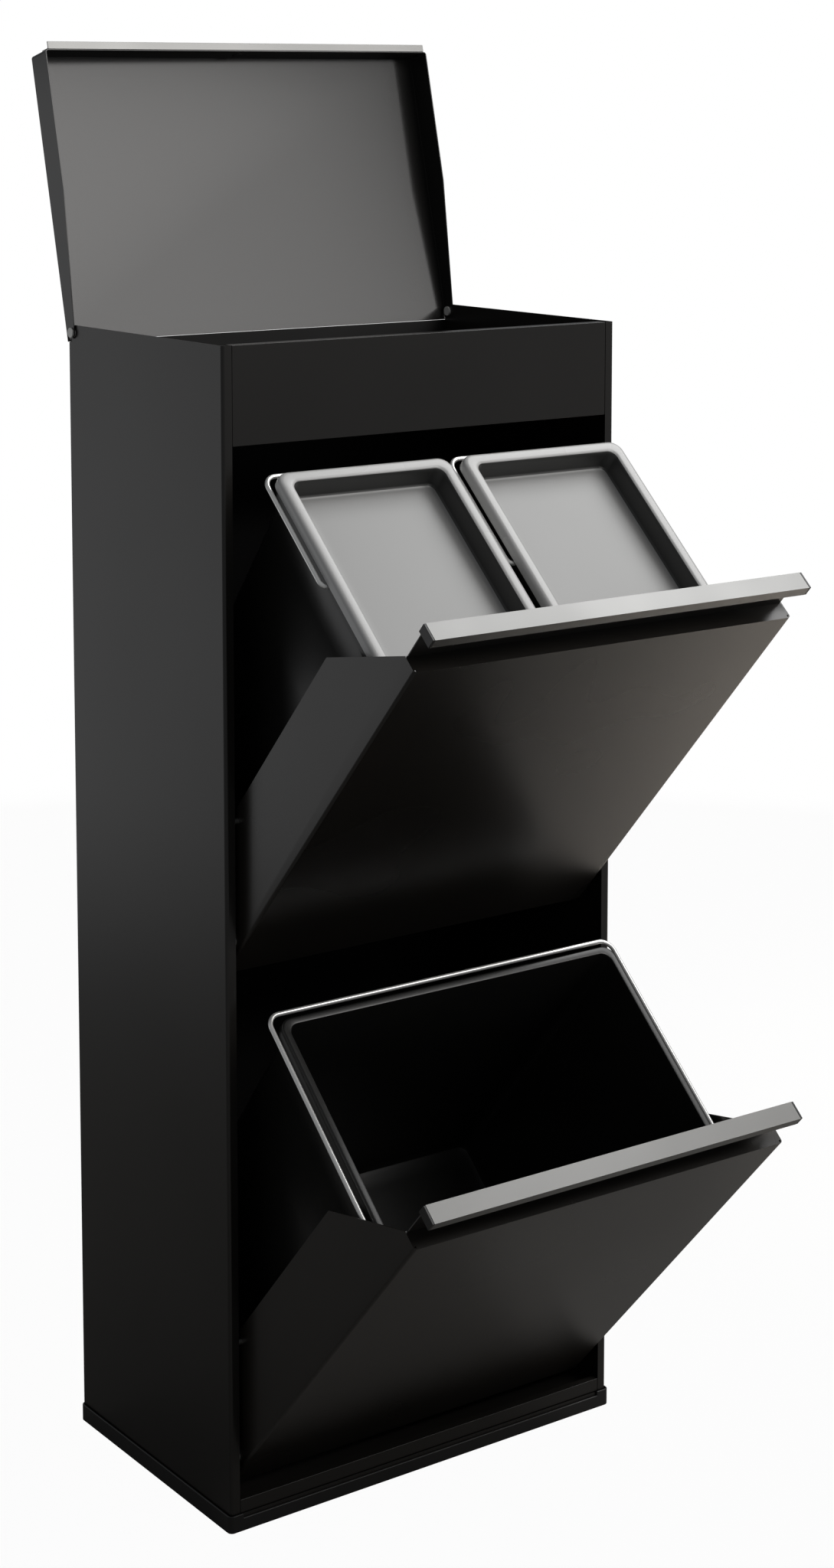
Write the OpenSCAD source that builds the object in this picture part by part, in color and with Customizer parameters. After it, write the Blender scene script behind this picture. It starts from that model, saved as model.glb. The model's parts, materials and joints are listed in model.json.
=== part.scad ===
// Free-standing steel recycling cabinet with a lidded top compartment and two tilt-out bin drawers.
// X runs to the right, the front faces -Y and +Z is up. The origin is the middle of the footprint,
// on the floor. It stands as in use: the lid is raised and both drawers are tilted out on their stops.

/* [Cabinet] */
// Width over the side panels
cabinet_w = 425; // [350:1:520]
// Depth from the front flanges to the back
cabinet_d = 265; // [235:1:320]
// Height of the side panels' top edge above the floor
cabinet_h = 1050; // [875:1:1260]
// Thickness of the folded steel sheet
sheet = 1; // [0.8:0.1:1.2]
// Width of the side panels' front return flanges
front_flange = 9.5; // [8:0.5:12]
// Width of the side panels' rear return flanges
rear_flange = 16; // [14:0.5:22]
// Outside radius of the long folds
bend_r = 3; // [2:0.5:4]
// Radius of the side panels' top rear corners
corner_r = 8; // [6:0.5:9]
// Height of the front panel under the lid
fascia_h = 86; // [70:1:105]
// Radius of the two wall-fixing holes
wall_hole_r = 3; // [2.5:0.25:4]
// Distance between the two wall-fixing holes
wall_hole_spacing = 240; // [160:5:300]

/* [Base] */
// Height of the plastic base tray's rim at the sides and the back
base_h = 16; // [14:0.5:22]
// Height of the base tray's rim at the front
base_front_h = 12; // [10:0.5:13]
// Thickness of the base tray's floor
base_floor = 3; // [2:0.5:4]
// Wall of the base tray
base_wall = 2.2; // [1.8:0.1:3]
// Radius of the base tray's upright corners
base_corner_r = 5; // [4:0.5:8]

/* [Lid] */
// Opening angle of the lid, from closed to its stop
lid_open = 103.5; // [95:0.5:115]
// Depth of the lid's front and side flanges
lid_flange = 28; // [22:1:34]
// Depth of the lid's side flanges at the pivots
lid_tail = 14; // [13:0.5:16]
// Distance from the lid's pivots to the back and to the side panels' top
lid_pivot_inset = 7; // [6.5:0.25:8]
// Radius of the lid's pivot pins
lid_pin_r = 2.5; // [2:0.25:3]
// How far the lid's grip strip stands out
lid_grip = 7; // [5:0.5:10]

/* [Drawers] */
// Tilt of an open drawer
tilt_open = 42; // [35:0.5:44]
// Distance from the front of a closed door back to its pivots
pivot_inset = 13; // [11:0.5:16]
// Height of the pivots above the door's bottom edge
pivot_rise = 33; // [28:1:40]
// Radius of the drawer pivot pins
pivot_pin_r = 3; // [2.5:0.25:4]
// Depth of the wings folded back from the door
wing_d = 86; // [78:1:100]
// Slope of the wings' top edges
wing_slope = 52; // [45:1:60]
// Height of the handle above the door's panel
handle_h = 38.5; // [32:0.5:46]
// Depth of the handle's top
handle_d = 17; // [15:0.5:20]
// Height of the handle's front lip
handle_lip = 9.5; // [7:0.5:12]
// Depth of the cradle that carries the bins
cradle_d = 236; // [205:1:280]

/* [Bins] */
// Wall of the moulded bins
bin_wall = 2.2; // [1.8:0.1:3]
// How far the bins narrow on each side from rim to base
bin_taper = 12; // [6:1:18]
// Width of the bins' rims
rim_w = 5; // [4:0.5:7]
// Depth of the recess in the small bins' lids
recess_h = 21; // [12:1:28]
// Radius of the bail wire
wire_r = 2.1; // [1.8:0.1:2.3]

/* [Fits] */
// Gap between a door's edge and the front flange beside it
door_side_gap = 4.5; // [3:0.5:6]
// Gap above a door's handle
door_top_gap = 3; // [2.5:0.5:5]
// Gap between the upper door and the lower door's handle
door_between_gap = 5.5; // [5:0.5:8]
// Gap between the lid's flanges and the cabinet
lid_gap = 0.8; // [0.6:0.1:1.5]
// Radial running clearance of the pivots
run_gap = 0.06; // [0.02:0.01:0.1]
// Gap left where pieces rest on or beside each other
rest_gap = 0.2; // [0.1:0.05:0.4]
// Room between the swinging bins and what is over them
swing_gap = 12; // [8:1:20]

/* [Hidden] */
$fn = 48;

front_y = -cabinet_d / 2;
inner_w = cabinet_w - 2 * sheet;

// Base and back
base_out = base_wall + 0.3;
apron_top = 28;
bottom_z = 19;
rivet_r = 1.6;
rivet_head_r = 3.2;
rivet_count = 5;
rivet_x = cabinet_w / 2 - rear_flange / 2 - sheet;

// Lid, measured from the front plane and the pivots when it is closed
lid_pivot_y = cabinet_d - lid_pivot_inset;
lid_pivot_z = cabinet_h - lid_pivot_inset;
lid_top_z = cabinet_h + 0.5 + sheet;
lid_w = cabinet_w + 2 * (lid_gap + sheet);
lid_rise = lid_top_z - lid_pivot_z;
back_top = lid_pivot_z - lid_pivot_inset * sin(lid_open) + lid_rise * cos(lid_open) - rest_gap;

// Drawers, measured from the front plane and the pivots when they are closed
fascia_bottom = cabinet_h - fascia_h;
lower_door_bottom = apron_top + 3.5;
door_pitch = (fascia_bottom - door_top_gap + door_between_gap - lower_door_bottom) / 2;
lower_pivot_z = lower_door_bottom + pivot_rise;
upper_pivot_z = lower_pivot_z + door_pitch;
door_w = cabinet_w - 2 * (front_flange + door_side_gap);
handle_top = door_pitch - door_between_gap - pivot_rise;
door_top = handle_top - handle_h;
riser_y = handle_d - sheet;
handle_front = 1.5;
handle_t = 1.5;
cap_t = 2;
rail_l = door_w - 2 * (cap_t + rest_gap);
handle_rivet_z = handle_top - handle_t - 4;
bush_wall = 2;
cradle_floor = 10;
cradle_side_h = 30;
cradle_back_h = 50;
stud_r = 3;
stud_reach = 108;

// Bins, measured in the closed drawer
bin_floor = cradle_floor + sheet + rest_gap;
bin_rear = cabinet_d - 14;
lid_over = 2.5;
lid_side = 2;
recess_gap = 1.4;
recess_wall = 1.4;
lid_stack = 7;
bin_front = riser_y + sheet + rest_gap + 2 + rim_w;
reach = handle_top - swing_gap;
bin_top = sqrt(reach * reach - pow(bin_rear - pivot_inset, 2)) - lid_stack;
bin_d = bin_rear - lid_over - bin_front;
bin_y = bin_front + bin_d / 2;
large_bin_w = door_w - 2 * (sheet + 13.5);
bin_middle_gap = 17;
small_bin_w = (large_bin_w - bin_middle_gap) / 2;
small_bin_x = (small_bin_w + bin_middle_gap) / 2;
skirt_h = 10;
bin_r = 12;
wire_out = 5.6;
wire_z = bin_top - 6;
wire_bend = 12;
wire_rear = bin_rear + wire_out;
small_bail_y = bin_y;
large_bail_y = bin_front + 26;

// Carries what is drawn in the closed drawer, with z = 0 at the pivots, to the open drawer
module drawer(pivot_z)
    translate([0, front_y + pivot_inset, pivot_z]) rotate([tilt_open, 0, 0])
        translate([0, -pivot_inset, 0]) children();

// Carries what is drawn in the closed lid, in cabinet heights, to the raised lid
module raised_lid()
    translate([0, front_y + lid_pivot_y, lid_pivot_z]) rotate([-lid_open, 0, 0])
        translate([0, -lid_pivot_y, -lid_pivot_z]) children();

// Extrudes an outline drawn in (y, z) along X, centred
module along_x(w) rotate([90, 0, 90]) translate([0, 0, -w / 2]) linear_extrude(w) children();

// A cylinder along X from x0 to x1
module rod_x(r, x0, x1) translate([x0, 0, 0]) rotate([0, 90, 0]) cylinder(r = r, h = x1 - x0);

// A cylinder along Y from y0 to y1
module rod_y(r, y0, y1) translate([0, y0, 0]) rotate([-90, 0, 0]) cylinder(r = r, h = y1 - y0);

// Both hands of a piece drawn on the +X side
module both_sides() for (s = [0, 1]) mirror([s, 0, 0]) children();

// A rectangle centred on the origin with round corners
module round_rect(w, d, r) {
    square([w - 2 * r, d], center = true);
    square([w, d - 2 * r], center = true);
    for (x = [-1, 1], y = [-1, 1]) translate([x * (w / 2 - r), y * (d / 2 - r)]) circle(r);
}

// A rectangle from y = 0 back to d whose two front corners are round
module round_front(w, d, r) {
    translate([-w / 2, r]) square([w, d - r]);
    translate([-w / 2 + r, 0]) square([w - 2 * r, d]);
    for (s = [-1, 1]) translate([s * (w / 2 - r), r]) circle(r);
}

// The section of a sheet folded into a U that opens to the back
module folded_u(w, d) difference() {
    round_front(w, d, bend_r);
    translate([0, sheet]) round_front(w - 2 * sheet, d, bend_r - sheet);
}

// One rivet along Y: its head's face is at y = 0 and it holds the thickness t behind it
module rivet(t) {
    rod_y(rivet_head_r, -1, 0);
    rod_y(rivet_r, 0, t);
    rod_y(rivet_r + 1, t, t + 0.8);
}

// The places of the rivets along one edge of the back panel
module back_rivet_places() for (s = [-1, 1], i = [0 : rivet_count - 1])
    translate([s * rivet_x, 0, base_h + 40 + i * (back_top - base_h - 80) / (rivet_count - 1)]) children();

module side_panel() color([0.14, 0.14, 0.135]) difference() {
    intersection() {
        translate([0, front_y, 0]) linear_extrude(cabinet_h) difference() {
            union() {
                translate([cabinet_w / 2 - front_flange, 0]) square([front_flange - bend_r, sheet]);
                translate([cabinet_w / 2 - sheet, bend_r]) square([sheet, cabinet_d - bend_r - sheet]);
                translate([cabinet_w / 2 - rear_flange, cabinet_d - sheet]) square([rear_flange, sheet]);
                intersection() {
                    translate([cabinet_w / 2 - bend_r, bend_r]) circle(bend_r);
                    translate([cabinet_w / 2 - bend_r, 0]) square(bend_r);
                }
            }
            translate([cabinet_w / 2 - bend_r, bend_r]) circle(bend_r - sheet);
        }
        translate([0, front_y, 0]) union() {
            along_x(2 * cabinet_w) {
                translate([0, base_floor + rest_gap])
                    square([cabinet_d - corner_r, cabinet_h - base_floor - rest_gap]);
                translate([0, base_floor + rest_gap])
                    square([cabinet_d, cabinet_h - base_floor - rest_gap - corner_r]);
                translate([cabinet_d - corner_r, cabinet_h - corner_r]) circle(corner_r);
            }
        }
    }
    // The rear flange stops below the lid's swing
    translate([0, front_y + cabinet_d - 2 * sheet, back_top])
        cube([cabinet_w / 2 - sheet, 3 * sheet, cabinet_h]);
    translate([cabinet_w / 2 - 2 * sheet, front_y + cabinet_d - 2 * sheet, back_top])
        cube([3 * sheet, 3 * sheet, cabinet_h]);
    translate([0, front_y + lid_pivot_y, lid_pivot_z])
        rod_x(lid_pin_r + run_gap, cabinet_w / 2 - 5, cabinet_w / 2 + 5);
    translate([0, front_y + cabinet_d, 0]) back_rivet_places() rod_y(rivet_r + run_gap, -4, 4);
}

module side_panel_left() mirror([1, 0, 0]) side_panel();
module side_panel_right() side_panel();

module back_panel() color([0.12, 0.12, 0.12]) difference() {
    translate([-inner_w / 2 + rest_gap, front_y + cabinet_d - 2 * sheet, bottom_z + 2])
        cube([inner_w - 2 * rest_gap, sheet, back_top - bottom_z - 2]);
    translate([0, front_y + cabinet_d, 0]) back_rivet_places() rod_y(rivet_r + run_gap, -4, 4);
    for (s = [-1, 1]) translate([s * wall_hole_spacing / 2, front_y + cabinet_d, wall_hole_z()])
        rod_y(wall_hole_r, -5, 5);
}

// The wall-fixing holes are inside the top compartment
function wall_hole_z() = cabinet_h - 40;

module back_rivets() color([0.2, 0.2, 0.2])
    translate([0, front_y + cabinet_d, 0]) back_rivet_places() mirror([0, 1, 0]) rivet(2 * sheet);

module fascia_panel() color([0.15, 0.15, 0.145]) {
    w = cabinet_w - 2 * front_flange - 2 * 0.5;
    translate([0, front_y, 0]) {
        translate([-w / 2, 0, fascia_bottom]) cube([w, sheet, fascia_h]);
        translate([-w / 2, 0, fascia_bottom]) cube([w, 15, sheet]);
        translate([-w / 2, 0, cabinet_h - sheet]) cube([w, 11, sheet]);
        translate([-w / 2, 10, cabinet_h - 9]) cube([w, sheet, 9]);
    }
}

module compartment_floor() color([0.1, 0.1, 0.1]) {
    w = inner_w - 2 * rest_gap;
    z = fascia_bottom + sheet + rest_gap;
    d = cabinet_d - bend_r - 2 * sheet - rest_gap;
    translate([-w / 2, front_y + bend_r, z]) {
        cube([w, d, sheet]);
        for (x = [0, w - sheet]) translate([x, 0, 0]) cube([sheet, d, 16]);
    }
}

module mid_brace() color([0.12, 0.12, 0.12]) {
    w = inner_w - 2 * rest_gap;
    z = upper_pivot_z - pivot_rise - 1;
    for (y = [60, 94]) translate([-w / 2, front_y + y, z - 12]) cube([w, sheet, 12]);
    translate([-w / 2, front_y + 60, z - sheet]) cube([w, 35, sheet]);
}

module bottom_panel() color([0.1, 0.1, 0.1]) {
    w = inner_w - 2 * rest_gap;
    apron_w = cabinet_w - 2 * front_flange - 2 * 0.5;
    translate([-w / 2, front_y + bend_r, bottom_z])
        cube([w, cabinet_d - bend_r - 2 * sheet - rest_gap, sheet]);
    translate([-apron_w / 2, front_y, base_front_h - 4]) cube([apron_w, sheet, apron_top - base_front_h + 4]);
    translate([-apron_w / 2, front_y, bottom_z]) cube([apron_w, bend_r, sheet]);
    translate([-apron_w / 2, front_y, apron_top - sheet]) cube([apron_w, 8, sheet]);
}

module base_tray() color([0.08, 0.08, 0.08]) difference() {
    w = cabinet_w + 2 * base_out;
    d = cabinet_d + 2 * base_out;
    linear_extrude(base_h) round_rect(w, d, base_corner_r);
    translate([0, 0, base_floor]) linear_extrude(base_h)
        round_rect(w - 2 * base_wall, d - 2 * base_wall, 0.8);
    translate([-w / 2 + base_corner_r + front_flange, -d / 2 - 1, base_front_h])
        cube([w - 2 * (base_corner_r + front_flange), base_wall + 1.5, base_h]);
}

// The lid's plate with three flanges; the side flanges taper to round ears at the pivots
module lid_panel() color([0.15, 0.15, 0.145]) raised_lid() difference() {
    front = -lid_gap - sheet;
    low = lid_top_z - lid_flange;
    ear_r = lid_tail - lid_rise;
    half = lid_pivot_y / 2;
    intersection() {
        difference() {
            translate([0, front, 0]) linear_extrude(lid_top_z)
                round_front(lid_w, cabinet_d - front, bend_r);
            translate([0, front + sheet, -1]) linear_extrude(lid_top_z + 1 - sheet)
                round_front(lid_w - 2 * sheet, cabinet_d + 20, bend_r - sheet);
        }
        along_x(2 * cabinet_w) {
            difference() {
                polygon([
                    [front, low], [half, low], [lid_pivot_y, lid_pivot_z - ear_r],
                    [lid_pivot_y, lid_top_z - sheet], [cabinet_d, lid_top_z - sheet],
                    [cabinet_d, lid_top_z], [front, lid_top_z]
                ]);
            }
            translate([lid_pivot_y, lid_pivot_z]) circle(ear_r);
        }
    }
    translate([0, lid_pivot_y, lid_pivot_z])
        rod_x(lid_pin_r + run_gap, -cabinet_w, cabinet_w);
}

module lid_grip_strip() color([0.8, 0.8, 0.8]) raised_lid() {
    w = lid_w - 2 * bend_r;
    y = -lid_gap - sheet - rest_gap;
    low = lid_top_z - lid_flange;
    translate([-w / 2, y - sheet, low]) cube([w, sheet, 12]);
    translate([-w / 2, y - lid_grip, low]) cube([w, lid_grip, 1.2]);
}

module lid_bumper() color([0.05, 0.05, 0.05]) raised_lid()
    translate([0, 0, lid_top_z - lid_flange / 2]) rod_y(5, -lid_gap, -0.1);

module lid_pivot_pins() color([0.92, 0.92, 0.9])
    translate([0, front_y + lid_pivot_y, lid_pivot_z]) both_sides() {
        rod_x(4.5, cabinet_w / 2 - sheet - 1.8, cabinet_w / 2 - sheet);
        rod_x(lid_pin_r, cabinet_w / 2 - sheet, lid_w / 2 + 0.1);
        rod_x(4.5, lid_w / 2 + 0.1, lid_w / 2 + 1.4);
    }

module lid_pivot_washers() color([0.92, 0.92, 0.9])
    translate([0, front_y + lid_pivot_y, lid_pivot_z]) both_sides() difference() {
        rod_x(4.8, cabinet_w / 2, cabinet_w / 2 + lid_gap - 0.1);
        rod_x(lid_pin_r + run_gap, cabinet_w / 2 - 1, cabinet_w / 2 + lid_gap + 1);
    }

// The door's front, wings, bottom hem, top return and the riser that carries the handle
module door(pivot_z) color([0.16, 0.155, 0.15]) drawer(pivot_z) difference() {
    union() {
        intersection() {
            translate([0, 0, -pivot_rise]) linear_extrude(door_top + pivot_rise) folded_u(door_w, wing_d);
            along_x(2 * door_w) polygon([
                [0, -pivot_rise], [bend_r + 9, -pivot_rise], [wing_d, pivot_inset],
                [wing_d, door_top - (wing_d - handle_d) * tan(wing_slope)],
                [handle_d, door_top], [0, door_top]
            ]);
        }
        translate([-door_w / 2 + bend_r, 0, -pivot_rise]) cube([door_w - 2 * bend_r, 12, sheet]);
        translate([-door_w / 2 + bend_r, 0, door_top - sheet]) cube([door_w - 2 * bend_r, bend_r, sheet]);
        translate([-door_w / 2, bend_r, door_top - sheet]) cube([door_w, handle_d - bend_r, sheet]);
        translate([-rail_l / 2, riser_y, door_top - sheet])
            cube([rail_l, sheet, handle_h - handle_t - rest_gap]);
    }
    translate([0, pivot_inset, 0]) rod_x(bush_r(), -door_w, door_w);
    handle_rivet_places() rod_y(rivet_r + run_gap, riser_y - 1, riser_y + 5);
}

function bush_r() = pivot_pin_r + run_gap + bush_wall;

module handle_rivet_places() for (i = [-1.5 : 1 : 1.5])
    translate([i * rail_l / 4, 0, handle_rivet_z]) children();

// The handle's top, front lip and the hem that grips the riser
module handle(pivot_z, tone) color([tone, tone, tone]) drawer(pivot_z) difference() {
    along_x(rail_l) difference() {
        translate([handle_front, handle_top - handle_lip])
            square([handle_d + handle_t + 0.1 - handle_front, handle_lip]);
        translate([handle_front + handle_t, handle_top - handle_lip - 1])
            square([handle_d + 0.1 - handle_front - handle_t, handle_lip + 1 - handle_t]);
    }
    handle_rivet_places() rod_y(rivet_r + run_gap, riser_y - 1, riser_y + 5);
}

// Small plugs that close the handle's two ends
module handle_caps(pivot_z) color([0.05, 0.05, 0.05]) drawer(pivot_z) both_sides()
    translate([door_w / 2 - cap_t / 2, 0, 0]) along_x(cap_t) polygon([
        [handle_front, handle_top - handle_lip], [handle_front, handle_top],
        [handle_d + handle_t, handle_top], [handle_d + handle_t, handle_top - handle_lip]
    ]);

// The rivets that hold the handle's hem to the riser
module handle_rivets(pivot_z) color([0.3, 0.3, 0.3]) drawer(pivot_z) handle_rivet_places()
    translate([0, handle_d + handle_t + 0.1, 0]) mirror([0, 1, 0]) {
        rod_y(rivet_head_r, -0.8, 0);
        rod_y(rivet_r, 0, handle_t + sheet + 0.1);
        rod_y(rivet_r + 1, handle_t + sheet + 0.1, handle_t + sheet + 0.9);
    }

// The tray that carries the bins between the wings
module cradle(pivot_z) color([0.1, 0.1, 0.1]) drawer(pivot_z) {
    w = door_w - 2 * (sheet + rest_gap);
    translate([-w / 2, sheet + rest_gap, cradle_floor]) {
        translate([bend_r, 0, 0]) cube([w - 2 * bend_r, cradle_d, sheet]);
        for (x = [0, w - sheet]) translate([x, bend_r, 0]) cube([sheet, cradle_d - bend_r, cradle_side_h]);
        for (x = [0, w - bend_r - sheet]) translate([x, bend_r, 0])
            cube([bend_r + sheet, cradle_d - bend_r, sheet]);
        translate([0, cradle_d - sheet, 0]) cube([w, sheet, cradle_back_h]);
    }
}

// Pins with a flange against the side panels, reaching in through the wings
module pivot_pins(pivot_z) color([0.7, 0.7, 0.7]) translate([0, front_y + pivot_inset, pivot_z])
    both_sides() {
        rod_x(9, inner_w / 2 - 2, inner_w / 2);
        rod_x(pivot_pin_r, door_w / 2 - 5, inner_w / 2 - 2);
    }

module pivot_bushes(pivot_z) color([0.9, 0.9, 0.88]) drawer(pivot_z) translate([0, pivot_inset, 0])
    both_sides() difference() {
        union() {
            rod_x(bush_r() - run_gap, door_w / 2 - sheet - 1.5, door_w / 2 + 1.5);
            rod_x(bush_r() + 1.5, door_w / 2 + 0.1, door_w / 2 + 1.5);
        }
        rod_x(pivot_pin_r + run_gap, door_w / 2 - 8, door_w / 2 + 8);
    }

// Studs on the wings that meet the back of the front flanges when the drawer is open
module stop_studs(pivot_z) color([0.6, 0.6, 0.6]) {
    y = sheet + stud_r + rest_gap;
    translate([0, front_y + y, pivot_z + sqrt(pow(stud_reach, 2) - pow(pivot_inset - y, 2))])
        both_sides() rod_x(stud_r, door_w / 2, cabinet_w / 2 - sheet - 4);
}

// A bin's outer or inner shape, narrowing from the rim to the base
module bin_body(w, d, top, bottom, inset) hull() {
    translate([0, 0, top - 0.1]) linear_extrude(0.1)
        round_rect(w - 2 * inset, d - 2 * inset, bin_r - inset);
    translate([0, 0, bottom]) linear_extrude(0.1)
        round_rect(w - 2 * inset - 2 * bin_taper, d - 2 * inset - 2 * bin_taper, bin_r - inset);
}

module bin(pivot_z, x, w, bail_y, tone) color([tone, tone, tone]) drawer(pivot_z) difference() {
    translate([x, bin_y, 0]) difference() {
        union() {
            bin_body(w - 2 * rim_w, bin_d - 2 * rim_w, bin_top, bin_floor, 0);
            translate([0, 0, bin_top - 2]) linear_extrude(2) round_rect(w, bin_d, bin_r);
            translate([0, 0, bin_top - skirt_h]) linear_extrude(skirt_h) difference() {
                round_rect(w, bin_d, bin_r);
                round_rect(w - 3, bin_d - 3, bin_r - 1.5);
            }
        }
        bin_body(w - 2 * rim_w, bin_d - 2 * rim_w, bin_top + 0.1, bin_floor + bin_wall, bin_wall);
    }
    translate([x, bail_y, wire_z]) both_sides() rod_x(wire_r + run_gap, w / 2 - 2.4, w / 2 + 2);
}

// A small bin's lid: a deep tray whose border caps the bin's rim
module bin_lid(pivot_z, x) color([0.68, 0.68, 0.68]) drawer(pivot_z)
    translate([x, bin_y, 0]) {
        w = small_bin_w + 2 * lid_side;
        d = bin_d + 2 * lid_over;
        recess_w = small_bin_w - 2 * (rim_w + bin_wall + recess_gap + recess_wall);
        recess_d = bin_d - 2 * (rim_w + bin_wall + recess_gap + recess_wall);
        top = bin_top + lid_stack;
        linear_extrude_at(wire_z + wire_r + 0.8, top) difference() {
            round_rect(w, d, bin_r);
            round_rect(w - 3.2, d - 3.2, bin_r - 1.6);
        }
        linear_extrude_at(bin_top + rest_gap, top) difference() {
            round_rect(w - 3, d - 3, bin_r - 1.5);
            round_rect(recess_w, recess_d, bin_r - 4);
        }
        linear_extrude_at(top - recess_h, bin_top + 1) difference() {
            round_rect(recess_w + 2 * recess_wall, recess_d + 2 * recess_wall, bin_r - 3);
            round_rect(recess_w, recess_d, bin_r - 4);
        }
        linear_extrude_at(top - recess_h - 1.6, top - recess_h)
            round_rect(recess_w + 2 * recess_wall, recess_d + 2 * recess_wall, bin_r - 3);
    }

module linear_extrude_at(z0, z1) translate([0, 0, z0]) linear_extrude(z1 - z0) children();

// A bail folded back around the rim: two legs, two bends, the cross wire and its inturned ends
module bail(pivot_z, x, w, bail_y) color([0.8, 0.8, 0.8]) drawer(pivot_z)
    translate([x, bail_y, wire_z]) {
        leg_x = w / 2 + wire_out;
        leg_l = wire_rear - bail_y - wire_bend;
        both_sides() {
            rod_x(wire_r, w / 2 - 0.6, leg_x);
            translate([leg_x, 0, 0]) sphere(wire_r);
            translate([leg_x, 0, 0]) rod_y(wire_r, 0, leg_l);
            translate([leg_x - wire_bend, leg_l, 0]) rotate_extrude(angle = 90)
                translate([wire_bend, 0]) circle(wire_r);
        }
        translate([0, leg_l + wire_bend, 0]) rod_x(wire_r, -leg_x + wire_bend, leg_x - wire_bend);
    }

side_panel_left();
side_panel_right();
back_panel();
fascia_panel();
compartment_floor();
mid_brace();
bottom_panel();
base_tray();
back_rivets();
lid_panel();
lid_grip_strip();
lid_bumper();
lid_pivot_pins();
lid_pivot_washers();
door(upper_pivot_z);  // upper_door
handle(upper_pivot_z, 0.84);  // upper_handle
handle_caps(upper_pivot_z);  // upper_handle_caps
handle_rivets(upper_pivot_z);  // upper_handle_rivets
cradle(upper_pivot_z);  // upper_cradle
pivot_pins(upper_pivot_z);  // upper_pivot_pins
pivot_bushes(upper_pivot_z);  // upper_pivot_bushes
stop_studs(upper_pivot_z);  // upper_stop_studs
door(lower_pivot_z);  // lower_door
handle(lower_pivot_z, 0.65);  // lower_handle
handle_caps(lower_pivot_z);  // lower_handle_caps
handle_rivets(lower_pivot_z);  // lower_handle_rivets
cradle(lower_pivot_z);  // lower_cradle
pivot_pins(lower_pivot_z);  // lower_pivot_pins
pivot_bushes(lower_pivot_z);  // lower_pivot_bushes
stop_studs(lower_pivot_z);  // lower_stop_studs
bin(upper_pivot_z, -small_bin_x, small_bin_w, small_bail_y, 0.12);  // left_bin
bin(upper_pivot_z, small_bin_x, small_bin_w, small_bail_y, 0.12);  // right_bin
bin(lower_pivot_z, 0, large_bin_w, large_bail_y, 0.06);  // large_bin
bin_lid(upper_pivot_z, -small_bin_x);  // left_bin_lid
bin_lid(upper_pivot_z, small_bin_x);  // right_bin_lid
bail(upper_pivot_z, -small_bin_x, small_bin_w, small_bail_y);  // left_bail
bail(upper_pivot_z, small_bin_x, small_bin_w, small_bail_y);  // right_bail
bail(lower_pivot_z, 0, large_bin_w, large_bail_y);  // large_bail
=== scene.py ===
"""The looks of a free-standing steel recycling cabinet with a raised lid and two tilt-out bin drawers."""
import json
import logging
import math
from dataclasses import dataclass, field
from enum import Enum
from typing import Any, Optional, Sequence

import bmesh
import bpy
from mathutils import Matrix, Vector

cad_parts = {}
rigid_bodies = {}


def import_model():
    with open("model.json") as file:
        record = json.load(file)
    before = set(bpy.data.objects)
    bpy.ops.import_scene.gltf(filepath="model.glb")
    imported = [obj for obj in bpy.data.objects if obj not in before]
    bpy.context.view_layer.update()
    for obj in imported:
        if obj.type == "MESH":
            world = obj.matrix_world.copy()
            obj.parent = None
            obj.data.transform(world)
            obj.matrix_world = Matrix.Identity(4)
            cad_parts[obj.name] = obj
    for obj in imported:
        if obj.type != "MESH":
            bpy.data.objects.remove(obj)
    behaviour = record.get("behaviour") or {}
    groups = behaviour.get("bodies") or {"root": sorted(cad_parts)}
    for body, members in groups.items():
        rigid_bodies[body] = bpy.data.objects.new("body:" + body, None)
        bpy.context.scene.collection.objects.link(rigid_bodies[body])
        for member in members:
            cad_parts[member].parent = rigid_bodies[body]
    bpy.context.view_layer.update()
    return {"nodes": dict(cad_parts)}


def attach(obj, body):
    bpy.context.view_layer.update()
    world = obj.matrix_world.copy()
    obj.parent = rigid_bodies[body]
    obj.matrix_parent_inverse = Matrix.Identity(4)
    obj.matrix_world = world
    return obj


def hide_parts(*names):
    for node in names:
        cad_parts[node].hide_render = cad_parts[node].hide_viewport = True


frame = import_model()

MM = 0.001
LOG = logging.getLogger("cabinet")
Object = bpy.types.Object
Mesh = bpy.types.Mesh
Material = bpy.types.Material
Tree = bpy.types.NodeTree


# ---------------------------------------------------------------- small tools


def linear(code: str) -> tuple[float, float, float, float]:
    """Turns an sRGB hex colour into a linear one.

    Args:
        code: Six hex digits, such as "1d1c1b".

    Returns:
        Red, green, blue and an alpha of one, linear.
    """
    parts = [int(code[i : i + 2], 16) / 255 for i in (0, 2, 4)]
    red, green, blue = (c / 12.92 if c <= 0.04045 else ((c + 0.055) / 1.055) ** 2.4 for c in parts)
    return red, green, blue, 1.0


def add_node(
    tree: Tree,
    kind: str,
    settings: Optional[dict[str, Any]] = None,
    values: Optional[dict[Any, Any]] = None,
    links: Optional[dict[Any, Any]] = None,
) -> bpy.types.Node:
    """Adds one node to a tree, sets it up and links it.

    Args:
        tree: The tree that gets the node.
        kind: Blender's name for the node's type.
        settings: The node's own settings.
        values: Input socket, by name or place, to its constant.
        links: Input socket, by name or place, to the output that feeds it.

    Returns:
        The new node.
    """
    node = tree.nodes.new(kind)
    for name, value in (settings or {}).items():
        setattr(node, name, value)
    for socket, value in (values or {}).items():
        node.inputs[socket].default_value = value
    for socket, source in (links or {}).items():
        tree.links.new(source, node.inputs[socket])
    return node


def per_metre(size_mm: float) -> float:
    """The scale of a noise whose features are size_mm across."""
    return 1.0 / (size_mm * MM)


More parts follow.
